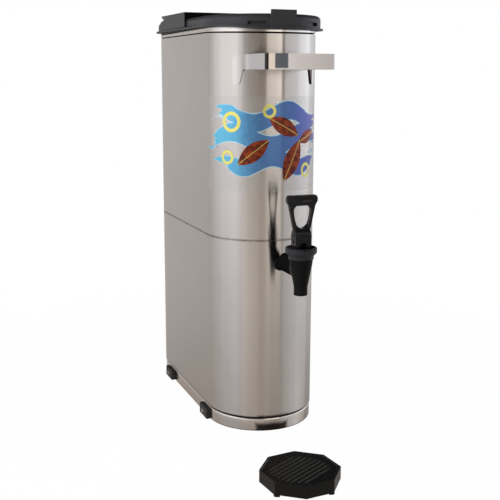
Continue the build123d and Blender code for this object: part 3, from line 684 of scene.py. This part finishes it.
# A copy of a CAD node's mesh, merged, with its edges eased by a small bevel
def easedCopy(node, name, ease, steps=2, sharp=30):
    source = frame["nodes"][node]
    piece = bpy.data.objects.new(name, source.data.copy())
    bpy.context.scene.collection.objects.link(piece)
    pickUp(piece)
    bpy.ops.object.mode_set(mode="EDIT")
    bpy.ops.mesh.select_all(action="SELECT")
    bpy.ops.mesh.remove_doubles(threshold=mergeGap)
    bpy.ops.mesh.dissolve_limited(angle_limit=math.radians(flatAngle))
    bpy.ops.object.mode_set(mode="OBJECT")
    if piece.data.has_custom_normals:
        bpy.ops.mesh.customdata_custom_splitnormals_clear()
    if ease:
        applyModifier(
            piece, "BEVEL", width=ease, segments=steps, limit_method="ANGLE",
            angle_limit=math.radians(sharp), miter_outer="MITER_ARC", use_clamp_overlap=True,
        )
    smooth(piece, sharp)
    if ease:
        applyModifier(piece, "WEIGHTED_NORMAL", keep_sharp=True)
    return piece


# A copy of a CAD node's mesh with its creases flowed into each other, as in a moulding
def flowedCopy(node, name, grid, passes, extras=()):
    piece = easedCopy(node, name, 0)
    for place, size in extras:
        clearSelection()
        bpy.ops.mesh.primitive_cube_add(size=1, location=place)
        bpy.ops.transform.resize(value=size)
        block = bpy.context.object
        settle(block)
        pickUp(piece)
        block.select_set(True)
        bpy.ops.object.join()
    applyModifier(piece, "REMESH", mode="VOXEL", voxel_size=grid, adaptivity=0.0)
    applyModifier(piece, "SMOOTH", factor=0.5, iterations=passes)
    pickUp(piece)
    bpy.ops.object.shade_smooth()
    return piece


def moveUp(piece, rise):
    for vertex in piece.data.vertices:
        vertex.co.z += rise(vertex.co)


def ramp(value, low, high):
    return min(max((value - low) / (high - low), 0.0), 1.0)


def giveMaterial(piece, material, test):
    piece.data.materials.append(material)
    choose(piece, "FACE", test)
    piece.active_material_index = len(piece.data.materials) - 1
    bpy.ops.object.material_slot_assign()
    bpy.ops.object.mode_set(mode="OBJECT")


def cutAway(piece, cutter):
    applyModifier(piece, "BOOLEAN", operation="DIFFERENCE", object=cutter, solver="EXACT")
    bpy.data.objects.remove(cutter)


# The groove under the lid isn't quite level: the sheets sink a little at the front and the back,
# and the lid is pressed up along its left side
grooveSettings = {
    "frontReach": (90 * mm, 179 * mm), "backReach": (20 * mm, 120 * mm), "backDrop": 1.2 * mm,
    "leftReach": (20 * mm, 75 * mm), "leftRise": 3.4 * mm, "rearFade": (-110 * mm, 0),
}


def edgeDrop(co, frontDrop):
    s = grooveSettings
    return frontDrop * ramp(-co.y, *s["frontReach"]) + s["backDrop"] * ramp(co.y, *s["backReach"])


def leftRise(co):
    s = grooveSettings
    side = ramp(-co.x, *s["leftReach"])
    return s["leftRise"] * side * side * (3 - 2 * side) * ramp(-co.y, *s["rearFade"])


# Wraps: two sheets with a fine seam between them and the shank's hole in the lower one
wrapSettings = {
    "seamGap": 0.4 * mm, "edgeEase": 0.14 * mm, "frontDrop": 2.3 * mm, "edgeBand": 1.0 * mm,
    "shankZ": 234.0 * mm, "holeRadius": 6.65 * mm, "holeSides": 48, "drillLength": 20 * mm,
}


def makeWraps(s):
    halfGap = s["seamGap"] / 2
    upper = raiseTub("upperWrap", wrapSection(seamZ + halfGap, wrapTopZ, s["edgeEase"]))
    moveUp(upper, lambda co: -edgeDrop(co, s["frontDrop"]) if co.z > wrapTopZ - s["edgeBand"] else 0)
    smooth(upper, 40)
    dress(upper, "upper_shell", wrapSteel)
    lower = raiseTub("lowerWrap", wrapSection(wrapFootZ, seamZ - halfGap, s["edgeEase"]))
    clearSelection()
    bpy.ops.mesh.primitive_cylinder_add(
        vertices=s["holeSides"], radius=s["holeRadius"], depth=s["drillLength"],
        location=(0, wallFrontY, s["shankZ"]), rotation=(math.pi / 2, 0, 0),
    )
    cutAway(lower, bpy.context.object)
    smooth(lower, 40)
    dress(lower, "lower_shell", wrapSteel)


makeWraps(wrapSettings)

# Base pan: its band has a small shoulder just under the wraps
panSettings = {
    "radius": 74.1 * mm, "wall": 1.2 * mm, "height": 34.0 * mm, "edgeRound": 1.6 * mm, "neckIn": 1.0 * mm,
    "shoulderZ": 15.6 * mm, "shoulderTurn": 3.0 * mm, "middle": 4.0 * mm,
}


def makeBasePan(s):
    outer, edge, turn = s["radius"], s["edgeRound"], s["shoulderTurn"]
    neck = outer - s["neckIn"]
    inner = neck - s["wall"]
    section = [(s["middle"], 0.0)]
    for angle in range(0, 91, 15):
        across, up = math.sin(math.radians(angle)), 1 - math.cos(math.radians(angle))
        section.append((outer - edge + edge * across, edge * up))
    for angle in range(0, 91, 15):
        across, up = math.cos(math.radians(angle)), math.sin(math.radians(angle))
        section.append((neck + s["neckIn"] * across, s["shoulderZ"] + turn * up))
    section += [(neck, s["height"]), (inner, s["height"]), (inner, s["wall"]), (s["middle"], s["wall"])]
    pan = raiseTub("basePan", section, closed=False)
    smooth(pan, 50)
    dress(pan, "base_pan", bandSteel)


makeBasePan(panSettings)

# Tank: bright inside and at its rolled rim, with painted shade where it stands behind the groove
tankSettings = {
    "rimFootZ": 536.0 * mm, "rimTopZ": 539.2 * mm, "rimBand": 1.5 * mm, "slack": 0.1 * mm,
    "outerRadius": 71.4 * mm, "frontDrop": 1.6 * mm,
}


def makeTank(s):
    tank = dress(easedCopy("tank", "innerTank", 0), "tank", tankSteel)

    def outside(centre, normal):
        endY = max(abs(centre.y) - urn["halfStraight"], 0.0)
        return math.hypot(centre.x, endY) > s["outerRadius"] and centre.z < s["rimFootZ"] + s["slack"]

    def rimRise(co):
        if co.z > s["rimTopZ"] - s["rimBand"]:
            return leftRise(co)
        if co.z > s["rimFootZ"] - s["slack"]:
            return -edgeDrop(co, s["frontDrop"])
        return 0

    giveMaterial(tank, shadedSteel, outside)
    moveUp(tank, rimRise)


makeTank(tankSettings)

# Strap, lid, bonnet, stem, gasket, tray, rivets and feet keep their CAD shapes, most with eased edges
easedLooks = {
    "front_handle": ("carryStrap", 0.35 * mm, strapSteel, "handle_steel"),
    "lid": ("lidShell", 0.6 * mm, lidPlastic, "lid_plastic"),
    "tap_bonnet": ("tapBonnet", 0.35 * mm, bonnetPlastic, "bonnet_plastic"),
    "tap_stem": ("tapStem", 0.15 * mm, stemPlastic, "stem_plastic"),
    "outer_gasket": ("outerGasket", 0.1 * mm, gasketRubber, "gasket_rubber"),
    "tray_cup": ("trayCup", 0.45 * mm, trayPlastic, "tray_plastic"),
    "tray_grille": ("trayGrille", 0.4 * mm, trayPlastic, "tray_plastic"),
    "foot_rivets": ("footRivets", 0.0, rivetSteel, "rivet_metal"),
    "foot_front_left": ("footFrontLeft", 0.6 * mm, footRubber, "foot_rubber"),
    "foot_front_right": ("footFrontRight", 0.6 * mm, footRubber, "foot_rubber"),
    "foot_rear_left": ("footRearLeft", 0.6 * mm, footRubber, "foot_rubber"),
    "foot_rear_right": ("footRearRight", 0.6 * mm, footRubber, "foot_rubber"),
}
for node, (name, ease, material, slotName) in easedLooks.items():
    piece = dress(easedCopy(node, name, ease), node, material)
    piece.visible_glossy = not node.startswith("tray")         # the steel doesn't mirror the tray

# The lid follows the rim at its left, and the front of its grip block lies in shade
lidSettings = {
    "flangeZ": 542.7 * mm, "flangeTilt": 2.5 * mm / -wallFrontY, "flangeFade": 0.8 * mm,
    "blockFrontY": -28 * mm, "blockFootZ": 545 * mm, "slack": 0.7 * mm, "facing": 0.85,
}


def finishLid(s):
    lid = bpy.data.objects["lidShell"]

    def flangeRise(co):
        top = s["flangeZ"] + co.y * s["flangeTilt"]
        return leftRise(co) * (1 - ramp(co.z, top, top + s["flangeFade"]))

    def blockFront(centre, normal):
        inPlace = abs(centre.y - s["blockFrontY"]) < s["slack"] and centre.z > s["blockFootZ"]
        return inPlace and normal.y < -s["facing"]

    moveUp(lid, flangeRise)
    giveMaterial(lid, shadedPlastic, blockFront)


finishLid(lidSettings)

# Tap body: a moulding whose barrel flows into its neck, which lies in shade behind the barrel
tapSettings = {"grid": 0.5 * mm, "passes": 4, "neckStart": 13.6 * mm}     # neckStart: behind the tap's axis


def makeTapBody(s):
    body = flowedCopy("tap_body", "tapBody", s["grid"], s["passes"])
    dress(body, "tap_body", tapPlastic)
    neckY = urn["tapY"] + s["neckStart"]
    giveMaterial(body, shadedPlastic, lambda centre, normal: centre.y > neckY)


makeTapBody(tapSettings)

# Lever: the slot for the stem's eye is closed above and in front, then the loop and panel are cut
leverSettings = {
    "grid": 0.4 * mm, "passes": 3, "pinZ": 277.5 * mm,
    "slotTop": {"forward": 0.0, "up": 6.1 * mm, "size": (9.4 * mm, 14.4 * mm, 2.4 * mm)},
    "slotFront": {"forward": 6.7 * mm, "up": 2.4 * mm, "size": (9.4 * mm, 1.5 * mm, 9.6 * mm)},
    "foot": (7.6 * mm, 16 * mm), "footPasses": 140,
    "panel": (25 * mm, 0.9 * mm, 6.4 * mm), "panelZ": 329.4 * mm, "panelRound": 0.4 * mm,
    "halfDepth": 3.25 * mm, "holeDepth": 30 * mm,
    "hole": [           # height and half width in millimetres
        (320.8, 8.6), (319.9, 11.0), (317.6, 11.9), (311.5, 11.5), (304.5, 10.1), (298.5, 7.9),
        (296.2, 5.6), (294.4, 3.2), (293.8, 0.9),
    ],
}


def holeCutter(profile, depth, middleY):
    right = [(half * mm, middleY, height * mm) for height, half in profile]
    left = [(-x, y, z) for x, y, z in reversed(right)]
    points = right + left
    mesh = bpy.data.meshes.new("holeCutter")
    mesh.from_pydata(points, [], [list(range(len(points)))])
    cutter = bpy.data.objects.new("holeCutter", mesh)
    bpy.context.scene.collection.objects.link(cutter)
    applyModifier(cutter, "SOLIDIFY", thickness=depth, offset=0.0)
    mend(cutter)
    return cutter


def makeLever(s):
    tapY = urn["tapY"]
    fillers = [
        ((0, tapY - block["forward"], s["pinZ"] + block["up"]), block["size"])
        for block in (s["slotTop"], s["slotFront"])
    ]
    lever = flowedCopy("tap_handle", "tapLever", s["grid"], s["passes"], fillers)
    foot = lever.vertex_groups.new(name="foot")
    low, high = (s["pinZ"] + up for up in s["foot"])
    foot.add([v.index for v in lever.data.vertices if low < v.co.z < high], 1.0, "REPLACE")
    applyModifier(lever, "SMOOTH", factor=0.5, iterations=s["footPasses"], vertex_group="foot")
    cutAway(lever, holeCutter(s["hole"], s["holeDepth"], tapY))
    clearSelection()
    bpy.ops.mesh.primitive_cube_add(size=1, location=(0, tapY - s["halfDepth"], s["panelZ"]))
    panel = bpy.context.object
    bpy.ops.transform.resize(value=s["panel"])
    settle(panel)
    applyModifier(panel, "BEVEL", width=s["panelRound"], segments=3, limit_method="NONE")
    cutAway(lever, panel)
    smooth(lever, 35)
    return dress(lever, "tap_handle", leverPlastic)


makeLever(leverSettings)

# Label: a thin curved film on the front, with its print map in millimetres
labelSettings = {
    "radius": 75.08 * mm, "thickness": 0.14 * mm, "low": 331.0 * mm, "height": 122.7 * mm,
    "edgeGap": 4.0 * mm, "sides": 256,
}


def makeLabel(s):
    clearSelection()
    bpy.ops.mesh.primitive_circle_add(
        vertices=s["sides"], radius=s["radius"],
        location=(0, 0, s["low"]), rotation=(0, 0, math.pi / s["sides"]),
    )
    label = bpy.context.object
    label.name = "frontLabel"
    settle(label)
    choose(label, "VERT", lambda co: co.y > -s["edgeGap"])
    bpy.ops.mesh.delete(type="VERT")
    bpy.ops.mesh.select_mode(type="EDGE")
    bpy.ops.mesh.select_all(action="SELECT")
    bpy.ops.mesh.extrude_edges_move(TRANSFORM_OT_translate={"value": (0, 0, s["height"])})
    bpy.ops.object.mode_set(mode="OBJECT")
    printMap = label.data.uv_layers.new(name="printMap")
    for loop in label.data.loops:
        co = label.data.vertices[loop.vertex_index].co
        angle = math.atan2(co.x, -co.y)
        printMap.data[loop.index].uv = (angle * s["radius"] / mm, (co.z - s["low"]) / mm)
    choose(label, "FACE", lambda centre, normal: True)
    outward = label.data.polygons[0].normal.dot(label.data.polygons[0].center) > 0
    if not outward:
        bpy.ops.mesh.flip_normals()
    bpy.ops.transform.translate(value=(0, -urn["halfStraight"], 0))
    bpy.ops.object.mode_set(mode="OBJECT")
    applyModifier(label, "SOLIDIFY", thickness=s["thickness"], offset=1.0, use_even_offset=True)
    smooth(label, 40)
    return dress(label, "front_label", filmPrint)


makeLabel(labelSettings)


def makeSpring():
    spring = dress(easedCopy("tap_spring", "tapSpring", 0), "tap_spring", springSteel)
    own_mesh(spring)


makeSpring()

# Pieces that hardly show, such as the ring behind the seam, keep their CAD meshes
hiddenLooks = {
    "joining_ring": ringShadeSteel, "inner_gasket": gasketRubber, "shank_nut": nutPlastic,
    "seat_cup": cupSilicone, "spring_washer": springSteel, "handle_pin": shadedSteel,
}
for node, material in hiddenLooks.items():
    frame["nodes"][node].data.materials.clear()
    frame["nodes"][node].data.materials.append(material)
print("stage 5: pieces made")


# Floor: white to the camera, a little darker where the object shades it, clear to reflections
floorSettings = {
    "size": 12.0, "sink": 0.2 * mm, "tone": 0.82, "glowNear": 0.985, "near": 0.35, "far": 0.8,
}


def makeFloor(s):
    clearSelection()
    bpy.ops.mesh.primitive_plane_add(size=s["size"], location=(0, 0, -s["sink"]))
    floor = bpy.context.object
    floor.name = "floor"
    settle(floor)
    material, tree, shader = newMaterial("paleFloor")
    setInputs(shader, Base_Color=(s["tone"], s["tone"], s["tone"], 1), Roughness=0.9)
    output = tree.nodes["Material Output"]
    place = addNode(tree, "ShaderNodeTexCoord", (-700, 0)).outputs["Object"]
    away = addNode(tree, "ShaderNodeVectorMath", (-500, 0), operation="LENGTH")
    link(tree, place, away.inputs[0])
    spread = fade(tree, away.outputs["Value"], s["near"], s["far"])
    glowShare = calc(tree, "MULTIPLY_ADD", spread, 1 - s["glowNear"], s["glowNear"])
    rays = addNode(tree, "ShaderNodeLightPath", (-600, 300))
    share = calc(tree, "MULTIPLY", rays.outputs["Is Camera Ray"], glowShare)
    glow = addNode(tree, "ShaderNodeEmission", (-300, 300))
    seen = addNode(tree, "ShaderNodeMixShader", (0, 200))
    link(tree, share, seen.inputs[0])
    link(tree, shader.outputs[0], seen.inputs[1])
    link(tree, glow.outputs[0], seen.inputs[2])
    clear = addNode(tree, "ShaderNodeBsdfTransparent", (0, 0))
    mirrored = addNode(tree, "ShaderNodeMixShader", (200, 200))
    link(tree, rays.outputs["Is Glossy Ray"], mirrored.inputs[0])
    link(tree, seen.outputs[0], mirrored.inputs[1])
    link(tree, clear.outputs[0], mirrored.inputs[2])
    link(tree, mirrored.outputs[0], output.inputs["Surface"])
    floor.data.materials.append(material)


# Panels that only reflections see. Each has its azimuth, in degrees from the urn's front towards its
# right, then tint and brightness at eye level, well below it, and near the counter
tints = {
    "blue": (0.98, 1.0, 1.07),
    "cool": (1.01, 1.0, 1.045),
    "silver": (1.04, 1.0, 1.025),
    "pale": (1.05, 1.0, 0.98),
    "warm": (1.09, 1.0, 0.935),
    "honey": (1.10, 1.0, 0.91),
    "tan": (1.14, 1.0, 0.90),
    "brown": (1.27, 1.0, 0.86),
}
behind = (("pale", 0.575), ("pale", 0.515), ("tan", 0.33))
surround = [
    (-180, *behind),
    (-150, *behind),
    (-137, ("pale", 0.72), ("pale", 0.575), ("tan", 0.345)),
    (-120, ("silver", 1.04), ("cool", 0.68), ("honey", 0.35)),
    (-100, ("silver", 1.35), ("cool", 0.79), ("warm", 0.38)),
    (-70, ("silver", 1.46), ("cool", 0.895), ("pale", 0.40)),
    (-60, ("silver", 1.08), ("silver", 0.86), ("warm", 0.375)),
    (-51, ("warm", 0.47), ("pale", 1.03), ("tan", 0.37)),
    (-40, ("warm", 0.285), ("warm", 0.91), ("tan", 0.35)),
    (-28, ("tan", 0.225), ("honey", 0.825), ("tan", 0.345)),
    (-16, ("brown", 0.19), ("tan", 0.66), ("tan", 0.315)),
    (-9, ("brown", 0.27), ("honey", 0.66), ("tan", 0.31)),
    (-4, ("honey", 1.12), ("honey", 0.67), ("tan", 0.28)),
    (10, ("warm", 1.28), ("honey", 0.585), ("tan", 0.22)),
    (24, ("warm", 1.61), ("warm", 0.505), ("tan", 0.245)),
    (27, ("tan", 0.305), ("warm", 0.47), ("tan", 0.28)),
    (30, ("tan", 0.31), ("pale", 0.46), ("tan", 0.315)),
    (33, ("silver", 0.94), ("pale", 0.54), ("honey", 0.38)),
    (60, ("cool", 0.995), ("cool", 0.66), ("silver", 0.505)),
    (73, ("blue", 1.33), ("cool", 0.70), ("pale", 0.605)),
    (97, ("blue", 1.50), ("cool", 0.78), ("warm", 0.44)),
    (112, ("blue", 0.97), ("silver", 0.635), ("warm", 0.265)),
    (140, ("cool", 0.65), ("pale", 0.50), ("warm", 0.285)),
    (180, *behind),
]
surroundLevels = {                      # where one level gives way to the next, as the sine of the slope
    "low": (-0.035, -0.13),
    "counter": (-0.22, -0.37),
    "above": (0.10, 0.30),
    "aboveColour": (0.03, 0.03, 0.032),
    "ambient": 0.24,
}


def makeSurround(panels, s):
    world = bpy.data.worlds.new("studio")
    bpy.context.scene.world = world
    world.use_nodes = True
    tree = world.node_tree
    tree.nodes.clear()
    output = addNode(tree, "ShaderNodeOutputWorld", (900, 0))
    place = addNode(tree, "ShaderNodeTexCoord", (-1100, 0))
    split = addNode(tree, "ShaderNodeSeparateXYZ", (-900, 0))
    link(tree, place.outputs["Generated"], split.inputs[0])
    back = calc(tree, "MULTIPLY", split.outputs["Y"], -1.0)
    azimuth = calc(tree, "ARCTAN2", split.outputs["X"], back)
    turn = calc(tree, "MULTIPLY_ADD", azimuth, 1 / (2 * math.pi), 0.5)
    levels = []
    for level in (1, 2, 3):
        ring = addNode(tree, "ShaderNodeValToRGB", (-100, 300 - 300 * level))
        ring.color_ramp.interpolation = "EASE"
        stops = ring.color_ramp.elements
        while len(stops) < len(panels):
            stops.new(0.5)
        for stop, panel in zip(stops, panels):
            tint, brightness = panel[level]
            stop.position = panel[0] / 360 + 0.5
            stop.color = (*(brightness * share for share in tints[tint]), 1)
        link(tree, turn, ring.inputs[0])
        levels.append(ring.outputs[0])
    height = split.outputs["Z"]
    down = calc(tree, "MULTIPLY", height, -1.0)
    colour = blendColour(tree, fade(tree, down, -s["low"][0], -s["low"][1]), levels[0], levels[1])
    colour = blendColour(tree, fade(tree, down, -s["counter"][0], -s["counter"][1]), colour, levels[2])
    colour = blendColour(tree, fade(tree, height, *s["above"]), colour, s["aboveColour"])
    mirrored = addNode(tree, "ShaderNodeBackground", (400, 0))
    link(tree, colour, mirrored.inputs["Color"])
    plain = addNode(tree, "ShaderNodeBackground", (400, -200))
    setInputs(plain, Color=(1, 1, 1, 1), Strength=s["ambient"])
    white = addNode(tree, "ShaderNodeBackground", (400, 200))
    setInputs(white, Color=(1, 1, 1, 1), Strength=1.0)
    rays = addNode(tree, "ShaderNodeLightPath", (200, 400))
    first = addNode(tree, "ShaderNodeMixShader", (600, 0))
    link(tree, rays.outputs["Is Glossy Ray"], first.inputs[0])
    link(tree, plain.outputs[0], first.inputs[1])
    link(tree, mirrored.outputs[0], first.inputs[2])
    second = addNode(tree, "ShaderNodeMixShader", (750, 100))
    link(tree, rays.outputs["Is Camera Ray"], second.inputs[0])
    link(tree, first.outputs[0], second.inputs[1])
    link(tree, white.outputs[0], second.inputs[2])
    link(tree, second.outputs[0], output.inputs["Surface"])


# Two broad soft lamps at the sides; the panels above stand in for them in reflections
lampAim = (0, 0, 0.3)
lampSettings = {
    "leftLamp": {"place": (-1.7, -0.55, 0.95), "size": 1.3, "power": 46},
    "rightLamp": {"place": (1.7, -0.45, 0.9), "size": 1.1, "power": 26},
}


def makeLamps(settings):
    for name, s in settings.items():
        data = bpy.data.lights.new(name, "AREA")
        data.size = s["size"]
        data.energy = s["power"]
        lamp = bpy.data.objects.new(name, data)
        bpy.context.scene.collection.objects.link(lamp)
        lamp.location = s["place"]
        aim = Vector(lampAim) - Vector(s["place"])
        lamp.rotation_euler = aim.to_track_quat("-Z", "Y").to_euler()
        lamp.visible_glossy = False


makeFloor(floorSettings)
makeSurround(surround, surroundLevels)
makeLamps(lampSettings)
print("stage 6: studio set")
